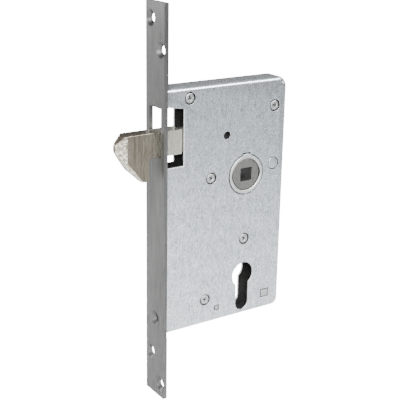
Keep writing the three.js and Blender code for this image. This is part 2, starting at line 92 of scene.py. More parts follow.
class Graph:
    """A material's node tree with short calls to add and join nodes."""

    def __init__(self, name: str) -> None:
        """Starts an empty material.

        Args:
            name: the material's name.
        """
        self.material = bpy.data.materials.new(name)
        self.material.use_nodes = True
        self.tree = self.material.node_tree
        self.tree.nodes.clear()

    def add(self, kind: str, settings: dict | None = None, **inputs: object) -> bpy.types.Node:
        """Adds one node.

        Args:
            kind: the node's class name after "ShaderNode".
            settings: the node's own properties.
            inputs: values or sockets for its inputs, with _ for a space in a name.

        Returns:
            The new node.
        """
        node = self.tree.nodes.new("ShaderNode" + kind)
        for key, value in (settings or {}).items():
            setattr(node, key, value)
        for key, value in inputs.items():
            socket = node.inputs[key.replace("_", " ")]
            if isinstance(value, bpy.types.NodeSocket):
                self.tree.links.new(value, socket)
            else:
                socket.default_value = value
        return node

    def noise(self, scale: Point, detail: float, rough: float) -> bpy.types.NodeSocket:
        """Noise stretched by a separate scale along each axis.

        Args:
            scale: features per metre along X, Y and Z.
            detail: the noise's octaves.
            rough: how strong the finer octaves are.

        Returns:
            The noise's grey value.
        """
        place = self.add("TexCoord").outputs["Object"]
        stretched = self.add("Mapping", Vector=place, Scale=scale).outputs["Vector"]
        noise = self.add("TexNoise", Vector=stretched, Scale=1.0, Detail=detail, Roughness=rough)
        return noise.outputs["Fac"]

    def spread(self, value: bpy.types.NodeSocket, low: float, high: float,
               to_low: float = 0.0, to_high: float = 1.0) -> bpy.types.NodeSocket:
        """The value with its range low to high spread over to_low to to_high, and held there.

        Args:
            value: the grey value.
            low: the lowest value that counts.
            high: the highest value that counts.
            to_low: what low becomes.
            to_high: what high becomes.

        Returns:
            The spread value.
        """
        node = self.add("MapRange", {"clamp": True}, Value=value, From_Min=low, From_Max=high,
                        To_Min=to_low, To_Max=to_high)
        return node.outputs["Result"]

    def mix(self, factor: bpy.types.NodeSocket, low: object, high: object) -> bpy.types.NodeSocket:
        """Two colours mixed by a grey value.

        Args:
            factor: 0 gives low and 1 gives high.
            low: a colour or a socket.
            high: a colour or a socket.

        Returns:
            The mixed colour.
        """
        node = self.add("Mix", {"data_type": "RGBA"})
        self.tree.links.new(factor, node.inputs[0])
        for socket, value in ((node.inputs[6], low), (node.inputs[7], high)):
            if isinstance(value, bpy.types.NodeSocket):
                self.tree.links.new(value, socket)
            else:
                socket.default_value = (*value, 1.0)
        return node.outputs[2]

    def finish(self, shader: bpy.types.Node) -> bpy.types.Material:
        """Joins the shader to the output.

        Args:
            shader: the last shader node.

        Returns:
            The material.
        """
        output = self.tree.nodes.new("ShaderNodeOutputMaterial")
        self.tree.links.new(shader.outputs[0], output.inputs["Surface"])
        return self.material


@dataclass(frozen=True)
class Metal:
    """A metal finish: mottle and grain in colour, roughness and bump.

    Attributes:
        name: the material's name.
        dark: colour where the noise is low.
        light: colour where the noise is high.
        rough: least and greatest roughness.
        metallic: how much of it mirrors as metal.
        grain: fine features per metre along X, Y and Z.
        grain_share: the grain's share against the mottle.
        mottle: coarse features per metre along X, Y and Z.
        fleck: how strong the dark specks are.
        fleck_colour: colour of the specks.
        bump: strength of the fine relief.
        speck_scale: specks per metre.
        contrast: half of the noise's range that goes from dark to light.
        fade: X in metres where a second colour starts and where it is full.
        fade_colour: the second colour.
    """

    name: str
    dark: Colour
    light: Colour
    rough: tuple[float, float] = (0.35, 0.5)
    metallic: float = 0.9
    grain: Point = (900.0, 900.0, 900.0)
    grain_share: float = 0.5
    mottle: Point = (160.0, 160.0, 160.0)
    fleck: float = 0.0
    fleck_colour: Colour = (0.1, 0.1, 0.1)
    bump: float = 0.15
    speck_scale: float = 1400.0
    contrast: float = 0.2
    fade: tuple[float, float] | None = None
    fade_colour: Colour = (0.5, 0.5, 0.5)

    def material(self) -> bpy.types.Material:
        """Builds the node tree.

        Returns:
            The finish as a material.
        """
        graph = Graph(self.name)
        grain = graph.noise(self.grain, 5.0, 0.6)
        mottle = graph.noise(self.mottle, 6.0, 0.6)
        both = graph.add("Mix", {"data_type": "FLOAT"})
        both.inputs[0].default_value = self.grain_share
        graph.tree.links.new(mottle, both.inputs[2])
        graph.tree.links.new(grain, both.inputs[3])
        tone = graph.spread(both.outputs[0], 0.5 - self.contrast, 0.5 + self.contrast)
        colour = graph.mix(tone, self.dark, self.light)
        if self.fleck > 0.0:
            speck = graph.noise((self.speck_scale,) * 3, 2.0, 0.5)
            spots = graph.spread(speck, *SPECK_RANGE, 0.0, self.fleck)
            colour = graph.mix(spots, colour, self.fleck_colour)
        if self.fade:
            place = graph.add("TexCoord").outputs["Object"]
            along = graph.add("SeparateXYZ", Vector=place).outputs["X"]
            worn_dark = tuple(WORN_SHADE * part for part in self.fade_colour)
            worn = graph.mix(tone, worn_dark, self.fade_colour)
            colour = graph.mix(graph.spread(along, *self.fade), colour, worn)
        low, high = self.rough
        rough = graph.spread(grain, *GRAIN_RANGE, high, low)
        relief = graph.add("Bump", Height=both.outputs[0], Strength=self.bump, Distance=RELIEF)
        shader = graph.add("BsdfPrincipled", Base_Color=colour, Roughness=rough,
                           Metallic=self.metallic, Normal=relief.outputs["Normal"])
        return graph.finish(shader)


class Finish(Enum):
    """The finishes of the lock's pieces."""

    FOREND = Metal("forend_satin", (0.085, 0.085, 0.084), (0.25, 0.25, 0.247), (0.34, 0.5), 0.95,
                   (2600.0, 2600.0, 38.0), 0.72, (60.0, 60.0, 14.0), bump=0.22)
    ZINC = Metal("zinc_sheet", (0.53, 0.58, 0.615), (0.90, 0.95, 0.985), (0.2, 0.36), 0.9,
                 (1100.0, 1100.0, 460.0), 0.55, (280.0, 280.0, 120.0),
                 fleck=0.8, fleck_colour=(0.22, 0.25, 0.275), bump=0.26,
                 speck_scale=760.0, contrast=0.12)
    NICKEL = Metal("hook_nickel", (0.12, 0.10, 0.075), (0.44, 0.40, 0.32), (0.2, 0.36), 0.95,
                   (1500.0, 1500.0, 50.0), 0.75, (210.0, 210.0, 80.0), bump=0.25,
                   fade=(-0.004, 0.002), fade_colour=(0.80, 0.78, 0.66))
    EDGE = Metal("hook_ground_edge", (0.30, 0.27, 0.17), (1.0, 0.98, 0.87), (0.3, 0.48), 0.7,
                 (620.0, 620.0, 620.0), 0.3, (520.0, 520.0, 520.0),
                 fleck=0.95, fleck_colour=(0.16, 0.13, 0.06), bump=0.5,
                 speck_scale=560.0, contrast=0.08)
    HUB = Metal("hub_sintered", (0.15, 0.15, 0.145), (0.26, 0.26, 0.25), (0.42, 0.58), 0.85,
                (1600.0, 1600.0, 1600.0), 0.6, (400.0, 400.0, 400.0),
                fleck=0.4, fleck_colour=(0.14, 0.135, 0.12), bump=0.2)
    BUSH = Metal("bush_zinc", (0.52, 0.535, 0.53), (0.68, 0.69, 0.685), (0.35, 0.5), 0.7,
                 (900.0, 900.0, 900.0), 0.5, (260.0, 260.0, 260.0), bump=0.1)
    BRIGHT = Metal("fastener_zinc", (0.48, 0.50, 0.50), (0.70, 0.71, 0.71), (0.28, 0.45), 0.92,
                   (1200.0, 1200.0, 1200.0), 0.5, (420.0, 420.0, 420.0), bump=0.14)
    STEEL = Metal("plain_steel", (0.20, 0.205, 0.21), (0.34, 0.345, 0.35), (0.38, 0.55), 0.92,
                  (900.0, 900.0, 200.0), 0.5, (180.0, 180.0, 180.0), bump=0.14)
    # Painted shade, not a real finish: a near-black colour put on the case's insides, holes and
    # recesses where shade falls.
    PAINTED_SHADE = Metal("painted_shade_inside", (0.018, 0.018, 0.018), (0.045, 0.045, 0.043), (0.45, 0.65),
                   0.4, (600.0, 600.0, 600.0), 0.5, (120.0, 120.0, 120.0), bump=0.1)
    CUT = Metal("sheared_edge", (0.62, 0.645, 0.66), (0.84, 0.86, 0.87), (0.5, 0.7), 0.25,
                (900.0, 900.0, 900.0), 0.5, (300.0, 300.0, 300.0), bump=0.1)
    SPRING = Metal("spring_steel", (0.10, 0.105, 0.11), (0.22, 0.225, 0.23), (0.25, 0.4), 0.95,
                   (1600.0, 1600.0, 1600.0), 0.5, (300.0, 300.0, 300.0), bump=0.08)


MATERIALS: dict[Finish, bpy.types.Material] = {}


def material_of(finish: Finish) -> bpy.types.Material:
    """The finish's material, built once.

    Args:
        finish: which finish.

    Returns:
        Its material.
    """
    if finish not in MATERIALS:
        MATERIALS[finish] = finish.value.material()
    return MATERIALS[finish]


# ---------------------------------------------------------------- surfaces


@dataclass
class Surface:
    """A shape as whole arrays.

    Attributes:
        points: the points, in millimetres.
        faces: the numbers of each face's points, all with the same count.
    """

    points: np.ndarray
    faces: np.ndarray

    def joined(self, other: "Surface") -> "Surface":
        """Both surfaces as one, with no shared points.

        Args:
            other: the surface to add.

        Returns:
            The two together.
        """
        points = np.vstack([self.points, other.points])
        return Surface(points, np.vstack([self.faces, other.faces + len(self.points)]))

    def moved(self, x: float, y: float, z: float) -> "Surface":
        """The surface moved by x, y and z."""
        return Surface(self.points + np.array([x, y, z]), self.faces)

    def middles(self) -> np.ndarray:
        """The middle of each face."""
        return self.points[self.faces].mean(axis=1)


def full_turn(count: int) -> np.ndarray:
    """Evenly spaced angles once round."""
    return np.linspace(0.0, TAU, count, endpoint=False)


def grid_surface(grid: np.ndarray, wrap_rows: bool = False) -> Surface:
    """A grid of points as quads, closed along its columns' direction.

    Quad (i, j) joins rows i and i + 1 at columns j and j + 1; the last column joins the first.

    Args:
        grid: points, rows by columns by 3; columns run round the shape.
        wrap_rows: the last row joins the first too.

    Returns:
        The surface.
    """
    rows, columns = grid.shape[:2]
    row = np.arange(rows if wrap_rows else rows - 1)[:, None]
    column = np.arange(columns)[None, :]
    nxt = (column + 1) % columns
    below = (row + 1) % rows
    quads = np.stack([row * columns + column, row * columns + nxt,
                      below * columns + nxt, below * columns + column], axis=-1)
    return Surface(grid.reshape(-1, 3), quads.reshape(-1, 4))


def revolved(profile: np.ndarray, segments: int = 64) -> np.ndarray:
    """A profile turned round the Y axis.

    Point (i, a) is (r_i cos a, y_i, r_i sin a).

    Args:
        profile: rows of (radius, y); a row of radius 0 closes an end.
        segments: columns round the axis.

    Returns:
        The grid of points.
    """
    angle = full_turn(segments)
    radius, height = profile[:, 0:1], profile[:, 1:2]
    return np.stack([radius * np.cos(angle), height + 0.0 * angle, radius * np.sin(angle)], axis=-1)


def rounded(profile: list[tuple[float, float]], radius: float, steps: int = 4) -> np.ndarray:
    """A broken line with each inner corner replaced by a quadratic curve.

    The curve starts and ends radius away from the corner: p(t) = (1-t)^2 a + 2t(1-t) c + t^2 b.

    Args:
        profile: the line's corners.
        radius: how far from each corner the curve starts.
        steps: points on each curve.

    Returns:
        The rounded line's points.
    """
    corners = np.array(profile, dtype=float)
    t = np.linspace(0.0, 1.0, steps)[:, None]
    pieces = [corners[:1]]
    for before, corner, after in zip(corners[:-2], corners[1:-1], corners[2:]):
        back, ahead = before - corner, after - corner
        reach_a = min(radius, 0.45 * np.linalg.norm(back))
        reach_b = min(radius, 0.45 * np.linalg.norm(ahead))
        a = corner + back / np.linalg.norm(back) * reach_a
        b = corner + ahead / np.linalg.norm(ahead) * reach_b
        pieces.append((1 - t) ** 2 * a + 2 * t * (1 - t) * corner + t ** 2 * b)
    pieces.append(corners[-1:])
    return np.vstack(pieces)


def rounded_block(low: Point, high: Point, radius: float, steps: int = 24) -> Surface:
    """A block with rounded edges: every direction n of a sphere gives corner(n) + radius n.

    corner(n) is the inner block's corner on n's side, so the sphere's eight parts are pulled
    apart by the block's flat faces.

    Args:
        low: the lowest corner.
        high: the highest corner.
        radius: the edges' radius.
        steps: grid lines from pole to pole, even.

    Returns:
        The closed surface.
    """
    centre = (np.array(low) + np.array(high)) / 2
    half = (np.array(high) - np.array(low)) / 2 - radius
    polar = np.linspace(0.0, math.pi, steps)
    turn = (np.arange(2 * steps) + 0.5) * TAU / (2 * steps)
    ring = np.sin(polar)[:, None]
    normal = np.stack([ring * np.cos(turn), ring * np.sin(turn),
                       np.cos(polar)[:, None] + 0.0 * turn], axis=-1)
    inner = np.sign(np.round(normal, 6)) * half
    inner[0, :, :2] = 0.0
    inner[-1, :, :2] = 0.0
    return grid_surface(centre + inner + radius * normal)


def merged_copy(node: str) -> Surface:
    """A frame node's triangles with their shared corners merged.

    Args:
        node: the node's name.

    Returns:
        The surface, in millimetres.
    """
    mesh = frame["nodes"][node].data
    points = np.empty(len(mesh.vertices) * 3)
    mesh.vertices.foreach_get("co", points)
    corners = np.empty(len(mesh.loops), dtype=np.int64)
    mesh.loops.foreach_get("vertex_index", corners)
    merged, where = np.unique(np.round(points.reshape(-1, 3), 7), axis=0, return_inverse=True)
    faces = where.reshape(-1)[corners].reshape(-1, 3)
    flat = np.any(faces == np.roll(faces, 1, axis=1), axis=1)
    return Surface(merged / MM, faces[~flat])


def corners_of(node: str) -> tuple[np.ndarray, np.ndarray]:
    """A node's lowest and highest corner, in millimetres.

    Args:
        node: the node's name.

    Returns:
        The two corners.
    """
    low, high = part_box(node)
    return np.array(low) / MM, np.array(high) / MM


def middle_of(node: str) -> tuple[np.ndarray, np.ndarray]:
    """A node's centre and its size, in millimetres.

    Args:
        node: the node's name.

    Returns:
        The centre and the size.
    """
    low, high = corners_of(node)
    return (low + high) / 2, high - low


# ---------------------------------------------------------------- pieces


@dataclass
class Piece:
    """One fine piece that stands for one frame node.

    Attributes:
        node: the frame node.
        name: the piece's name.
        finish: the finish of most of its faces.
        smooth_angle: edges sharper than this many degrees are drawn sharp.
        edge: width of the broken edges, in millimetres.
        squash: joint, fixed point in metres and share of length kept at the joint's far end.
        flat_faces: neighbouring faces in one plane are joined before the edges are broken.
        extra: other finishes, each with the faces that it covers.
    """

    node: str
    name: str
    finish: Finish
    smooth_angle: float = 32.0
    edge: float = 0.0
    squash: tuple[str, Point, float] | None = None
    flat_faces: bool = False
    extra: list[tuple[Finish, np.ndarray]] = field(default_factory=list)

    def place(self, surface: Surface) -> bpy.types.Object:
        """Makes the object, dresses it and lets it ride.

        Args:
            surface: the piece's shape in millimetres.

        Returns:
            The object.
        """
        mesh = bpy.data.meshes.new(self.name)
        mesh.from_pydata((surface.points * MM).tolist(), [], surface.faces.tolist())
        mesh.materials.append(material_of(self.finish))
        for index, (finish, chosen) in enumerate(self.extra, start=1):
            mesh.materials.append(material_of(finish))
            which = np.zeros(len(mesh.polygons), dtype=np.int32)
            mesh.polygons.foreach_get("material_index", which)
            which[chosen] = index
            mesh.polygons.foreach_set("material_index", which)
        weld(mesh, self.flat_faces)
        mesh.shade_smooth()
        mesh.set_sharp_from_angle(angle=math.radians(self.smooth_angle))
        obj = bpy.data.objects.new(self.name, mesh)
        bpy.context.scene.collection.objects.link(obj)
        if self.edge > 0.0:
            bevel = obj.modifiers.new("broken_edge", "BEVEL")
            bevel.width = self.edge * MM
            bevel.segments = 2
            bevel.limit_method = "ANGLE"
            bevel.angle_limit = math.radians(self.smooth_angle)
            bevel.use_clamp_overlap = False
            bevel.harden_normals = True
        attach(obj, BODY_OF[self.node])
        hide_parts(self.node)
        if self.squash:
            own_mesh(obj)
        LOG.info("%s: %d faces on %s", self.name, len(mesh.polygons), BODY_OF[self.node])
        return obj


def weld(mesh: bpy.types.Mesh, flat_faces: bool) -> None:
    """Merges doubled points, drops what has no area and turns faces out.

    Args:
        mesh: the mesh to clean.
        flat_faces: neighbouring faces in one plane are joined too.
    """
    work = bmesh.new()
    work.from_mesh(mesh)
    bmesh.ops.remove_doubles(work, verts=work.verts, dist=ONE_POINT)
    bmesh.ops.dissolve_degenerate(work, dist=NO_AREA, edges=work.edges)
    if flat_faces:
        bmesh.ops.dissolve_limit(work, angle_limit=ONE_PLANE, verts=work.verts, edges=work.edges,
                                 delimit={"MATERIAL"})
    bmesh.ops.recalc_face_normals(work, faces=work.faces)
    work.to_mesh(mesh)
    work.free()


@dataclass
class SheetWork:
    """Plates and folded sheets: the frame's own shapes with their edges broken.

    Attributes:
        skin: depth that counts as a sheet's outer side, just under its thickness.
        flange_gap: how far the cover's flanges come up towards the base plate.
        slimmer: how much a tenon loses on each side at its ends.
        square: half the reach of the follower's square hole.
        small_hole: the middle of the small round hole, and small_reach how far round it the plate
            is painted dark as shade.
        rim: band along the case's outline that holds no large opening.
        close: distance that counts as touching.
        tenoned: blocks with square tenons.
        shaded: pieces that are painted dark as shade below the plates' surface.
        filled: pieces whose holes in the plates are lined with painted shade.
        plates: for each node its piece's name, its finish and its broken edge.
    """

    skin: float = 1.45
    flange_gap: float = 0.27
    slimmer: float = 0.28
    square: float = 4.7
    small_hole: Point = (50.0, 0.0, 28.7)
    small_reach: float = 4.0
    rim: float = 3.5
    close: float = 0.1
    tenoned: tuple[str, ...] = ("rear_spacer", "screw_guide")
    shaded: tuple[str, ...] = ("rear_spacer", "screw_guide", "follower")
    filled: tuple[str, ...] = ("pivot_pin", "rear_spacer", "screw_guide", "follower_bush_near",
                               *(f"cover_screw_{number}" for number in range(1, 6)))
    plates: dict[str, tuple[str, Finish, float]] = field(default_factory=lambda: {
        "forend": ("forend_plate", Finish.FOREND, 0.13),
        "case_cover": ("folded_cover", Finish.ZINC, 0.12),
        "base_plate": ("flat_base_plate", Finish.ZINC, 0.12),
        "forend_bracket_top": ("upper_angle", Finish.STEEL, 0.2),
        "forend_bracket_bottom": ("lower_angle", Finish.STEEL, 0.2),
        "rear_spacer": ("spacer_block", Finish.BRIGHT, 0.12),
        "screw_guide": ("cylinder_screw_guide", Finish.BRIGHT, 0.1),
        "hook_spring_shelf": ("upper_spring_shelf", Finish.STEEL, 0.15),
        "return_spring_shelf": ("lower_spring_shelf", Finish.STEEL, 0.15),
        "detent_spring": ("slider_leaf", Finish.SPRING, 0.08),
        "hook_arm": ("lifting_arm", Finish.STEEL, 0.2),
        "follower": ("square_hub", Finish.HUB, 0.25),
        "lock_slider": ("deadlock_slider_plate", Finish.STEEL, 0.2),
    })

    def build(self) -> None:
        """Makes every plate from its node's own merged surface."""
        for node, (name, finish, edge) in self.plates.items():
            surface = merged_copy(node)
            if node == "case_cover":
                surface = self.closed_up(surface)
            if node in self.tenoned:
                surface = self.tapered(surface, node)
            inner = []
            if finish is Finish.ZINC:
                # Painted shade: the plate's inner faces and the linings of its holes get the
                # near-black shade colour.
                dark = self.inner_faces(surface)
                inner = [(Finish.PAINTED_SHADE, dark), (Finish.CUT, self.cut_faces(surface) & ~dark)]
            if node in self.shaded:
                # Painted shade: faces below the plates' surface, and on the follower the walls of
                # its square hole, get the near-black shade colour.
                inner = [(Finish.PAINTED_SHADE, self.sunk_faces(surface, node))]
            Piece(node, name, finish, edge=edge, extra=inner, flat_faces=True).place(surface)

    def closed_up(self, surface: Surface) -> Surface:
        """The cover with its flanges' free edges brought up against the base plate.

        Args:
            surface: the cover.

        Returns:
            The cover with longer flanges.
        """
        points = surface.points.copy()
        points[points[:, 1] > points[:, 1].max() - self.close, 1] += self.flange_gap
        return Surface(points, surface.faces)

    def tapered(self, surface: Surface, node: str) -> Surface:
        """A block whose square tenons get a little slimmer towards their ends.

        Args:
            surface: the block with its tenons.
            node: its frame node.

        Returns:
            The block with slimmer tenon ends.
        """
        low, _ = corners_of(node)
        points = surface.points.copy()
        ends = np.abs(points[:, 1]) > -low[1] - self.close
        for axis in (0, 2):
            mid = 0.5 * (points[ends, axis].max() + points[ends, axis].min())
            points[ends, axis] -= self.slimmer * np.sign(points[ends, axis] - mid)
        return Surface(points, surface.faces)

    def sunk_faces(self, surface: Surface, node: str) -> np.ndarray:
        """Which faces of a piece that ends in the plates lie below their surface.

        Args:
            surface: the piece.
            node: its frame node.

        Returns:
            True for each such face, which gets painted shade; on the follower, for the walls of its
            square hole.
        """
        middle = surface.middles()
        _, high = corners_of(node)
        sunk = np.abs(middle[:, 1]) < high[1] - 2 * self.close
        if node != "follower":
            return sunk
        hole, _ = middle_of("follower_bush_near")
        return sunk & np.all(np.abs(middle - hole)[:, ::2] < self.square, axis=1)

    def cut_faces(self, surface: Surface) -> np.ndarray:
        """Which faces of a case plate are the sheared walls of its large openings.

        Args:
            surface: the plate.

        Returns:
            True for each such face.
        """
        middle = surface.middles()
        low, high = corners_of("case_cover")
        depth = -low[1] - np.abs(middle[:, 1])
        wall = (depth < self.skin) & (depth > self.close / 2)
        wall &= (middle[:, 0] < high[0] - self.rim) & (middle[:, 2] < high[2] - self.rim)
        return wall & (middle[:, 2] > low[2] + self.rim)

    def inner_faces(self, surface: Surface) -> np.ndarray:
        """Which faces of a case plate look into the case or line one of its small holes.

        Args:
            surface: the plate.

        Returns:
            True for each such face; these faces are painted dark as shade.
        """
        middle = surface.middles()
        low, high = corners_of("case_cover")
        top = (high[0] - self.skin, -low[1] - self.skin, high[2] - self.skin)
        bottom = (low[0] - 1.0, low[1] + self.skin, low[2] + self.skin)
        inside = np.all((middle < top) & (middle > bottom), axis=1)
        inside |= np.abs(np.abs(middle[:, 1]) - top[1]) < 0.15
        sunk = np.abs(middle[:, 1]) < -low[1] - 0.3
        for node in self.filled:
            centre, size = middle_of(node)
            away = np.hypot(*(middle - centre)[:, ::2].T)
            reach = 0.75 * max(size[0], size[2]) + 1.0
            inside |= sunk & (away < reach) & (middle[:, 2] < top[2])
        away = np.hypot(*(middle - np.array(self.small_hole))[:, ::2].T)
        return inside | (sunk & (away < self.small_reach))


@dataclass
class TurnedWork:
    """Posts, pins, rivets and rings: profiles turned round an axis along Y.

    Attributes:
        edge: how far corners are eased.
        plate: the base plate's thickness with its clearance.
        rivet_end: radius of an end that is riveted into the base plate.
        end_slimmer: how much thinner the pivot pin is at its ends.
        bore: radius of a post's threaded bore.
        ridge: height of its thread.
        pitch: pitch of its thread.
        turns: turns of its thread.
        ring_bore: radius of a distance ring's hole.
    """

    edge: float = 0.25
    plate: float = 1.8
    rivet_end: float = 2.5
    end_slimmer: float = 0.28
    bore: float = 2.05
    ridge: float = 0.22
    pitch: float = 0.8
    turns: int = 8
    ring_bore: float = 4.4

    def build(self) -> None:
        """Makes every turned piece at its node's own place and size."""
        for number in range(1, 6):
            self.post(f"post_{number}", f"threaded_post_{number}")
        for number in range(1, 4):
            self.rivet(f"bracket_rivet_{number}", f"bracket_fixing_{number}")
        for number in range(1, 3):
            self.bar(f"hook_rivet_{number}", f"hook_lap_rivet_{number}", Finish.BRIGHT)
        self.bar("pivot_pin", "hook_pivot_pin", Finish.ZINC, self.end_slimmer)
        for side in ("near", "far"):
            self.ring(f"pivot_ring_{side}", f"pivot_distance_ring_{side}")
        self.stepped("hook_stop_pin", "hook_stop")
        self.stepped("slider_guide_pin", "slider_guide")

    def turned(self, node: str, name: str, finish: Finish, profile: list[tuple[float, float]],
               end_from: float = math.inf) -> None:
        """Places one turned piece on its node's axis.

        Args:
            node: the frame node.
            name: the piece's name.
            finish: its finish.
            profile: corners as (radius, y) with y in the lock's frame.
            end_from: the y past which the piece is bare steel.
        """
        centre, _ = middle_of(node)
        surface = grid_surface(revolved(rounded(profile, self.edge)))
        bare = surface.middles()[:, 1] > end_from
        piece = Piece(node, name, finish, extra=[(Finish.STEEL, bare)])
        piece.place(surface.moved(centre[0], 0.0, centre[2]))

    def bar(self, node: str, name: str, finish: Finish, slimmer: float = 0.0) -> None:
        """A plain bar from end to end of its node.

        Args:
            node: the frame node.
            name: the piece's name.
            finish: its finish.
            slimmer: how much thinner it is at its ends.
        """
        low, high = corners_of(node)
        radius = (high[0] - low[0]) / 2
        tip, neck, dish = radius - slimmer, self.plate - 0.4, 0.04
        self.turned(node, name, finish, [
            (0.0, low[1] + dish), (tip, low[1]), (tip, low[1] + neck),
            (radius, low[1] + self.plate), (radius, high[1] - self.plate),
            (tip, high[1] - neck), (tip, high[1]), (0.0, high[1] - dish),
        ])

    def stepped(self, node: str, name: str) -> None:
        """A standing pin whose end is riveted into the base plate.

        Args:
            node: the frame node.
            name: the piece's name.
        """
        low, high = corners_of(node)
        radius = (high[0] - low[0]) / 2
        rivet = min(radius, self.rivet_end)
        self.turned(node, name, Finish.STEEL, [
            (0.0, low[1]), (radius, low[1]), (radius, high[1] - self.plate),
            (rivet, high[1] - self.plate + 0.1), (rivet, high[1]), (1.0, high[1]),
            (0.0, high[1] - 0.3),
        ])

    def post(self, node: str, name: str) -> None:
        """A post with a threaded bore and a riveted far end.

        The thread is a row of ridges: r(y) = bore + ridge times a triangle wave of y.

        Args:
            node: the frame node.
            name: the piece's name.
        """
        low, high = corners_of(node)
        radius, end = (high[0] - low[0]) / 2, self.rivet_end
        floor = low[1] + self.turns * self.pitch + 0.6
        thread = [(self.bore + self.ridge * (step % 2), floor - 0.3 - step * self.pitch / 2)
                  for step in range(2 * self.turns)]
        dimple = high[1] - 0.35
        # Painted shade: the post is coloured near-black for the shade inside the case; only its far
        # end is bare steel.
        self.turned(node, name, Finish.PAINTED_SHADE, [
            (0.0, floor), (self.bore, floor), *thread, (self.bore + self.ridge, low[1]),
            (radius, low[1]), (radius, high[1] - self.plate), (end, high[1] - self.plate),
            (end, high[1]), (1.2, high[1]), (0.9, dimple), (0.0, dimple),
        ], high[1] - 1.0)

    def rivet(self, node: str, name: str) -> None:
        """A rivet with its flat head inside the case.

        Args:
            node: the frame node.
            name: the piece's name.
        """
        low, high = corners_of(node)
        self.turned(node, name, Finish.BRIGHT, [
            (0.0, low[1]), (2.3, low[1]), (2.6, low[1] + 0.4), (2.6, low[1] + 1.0),
            (1.6, low[1] + 1.0), (1.6, high[1]), (0.0, high[1]),
        ])

    def ring(self, node: str, name: str) -> None:
        """A distance ring: a closed profile carried once round the pin.

        Args:
            node: the frame node.
            name: the piece's name.
        """
        low, high = corners_of(node)
        centre, _ = middle_of(node)
        outer, inner = (high[0] - low[0]) / 2, self.ring_bore
        line = rounded([
            (inner, centre[1]), (inner, low[1]), (outer, low[1]), (outer, high[1]),
            (inner, high[1]), (inner, centre[1]),
        ], self.edge)[:-1]
        surface = grid_surface(revolved(line), wrap_rows=True)
        # Painted shade: the distance ring is coloured near-black for the shade inside the case.
        Piece(node, name, Finish.PAINTED_SHADE).place(surface.moved(centre[0], 0.0, centre[2]))


@dataclass
class CoverScrews:
    """Countersunk cross-recess screws, each turned to its own angle.

    Attributes:
        dome: height of the head's crown.
        recess: depth of the cross.
        arm: length of the cross's arms.
        blade: half the width of an arm.
        clearance: gap round the head, whose walls in the plate are painted dark as shade.
        shank: radius of the shank.
        columns: columns round the axis.
        angles: the cross's angle on each screw, in degrees.
    """

    dome: float = 0.12
    recess: float = 1.0
    arm: float = 1.95
    blade: float = 0.34
    clearance: float = 0.35
    shank: float = 1.9
    columns: int = 96
    angles: tuple[float, ...] = (20.0, 75.0, 48.0, 35.0, 60.0)

    def face(self, x: np.ndarray, z: np.ndarray, turn: float) -> np.ndarray:
        """How deep the recess is at a point of the head.

        The depth is recess times a smooth step of the distance inside the nearer arm of the
        cross, and each arm gets shallower towards its end.

        Args:
            x: distances from the axis along X.
            z: distances from the axis along Z.
            turn: the cross's angle in radians.

        Returns:
            The depth at each point.
        """
        along = np.abs(x * math.cos(turn) + z * math.sin(turn))
        across = np.abs(z * math.cos(turn) - x * math.sin(turn))
        depth = np.zeros_like(along)
        for length, width in ((along, across), (across, along)):
            inside = np.clip((self.blade + 0.14 - width) / 0.22, 0.0, 1.0)
            taper = np.clip((self.arm - length) / 0.75, 0.0, 1.0) ** 0.6
            depth = np.maximum(depth, inside * taper)
        return self.recess * depth

    def build(self) -> None:
        """Makes the five screws: rows from the axis to the rim, then down the shank."""
        angle = full_turn(self.columns)
        for number, degrees in enumerate(self.angles, start=1):
            node = f"cover_screw_{number}"
            low, high = corners_of(node)
            centre, head = (low + high) / 2, (high[0] - low[0]) / 2 - self.clearance
            flat = np.linspace(0.0, head - 0.35, 30)[:, None]
            x, z = flat * np.cos(angle), flat * np.sin(angle)
            crown = self.dome * (flat / head) ** 2
            y = low[1] + crown + self.face(x, z, math.radians(degrees))
            top = np.stack([x, y + 0.0 * x, z], axis=-1)
            rim = rounded([
                (head - 0.3, low[1] + self.dome), (head, low[1] + 0.3), (head, low[1] + 0.6),
                (self.shank, low[1] + 1.45), (self.shank, high[1] - 0.6), (1.2, high[1]),
                (0.0, high[1]),
            ], 0.15)
            surface = grid_surface(np.concatenate([top, revolved(rim, self.columns)]))
            sunk = surface.middles()
            # Painted shade: the bottom of the cross recess gets the near-black shade colour.
            deep = (sunk[:, 1] > low[1] + 0.7) & (np.hypot(sunk[:, 0], sunk[:, 2]) < self.arm + 0.3)
            piece = Piece(node, f"cross_recess_screw_{number}", Finish.BRIGHT, smooth_angle=40.0,
                          extra=[(Finish.PAINTED_SHADE, deep)])
            piece.place(surface.moved(centre[0], 0.0, centre[2]))


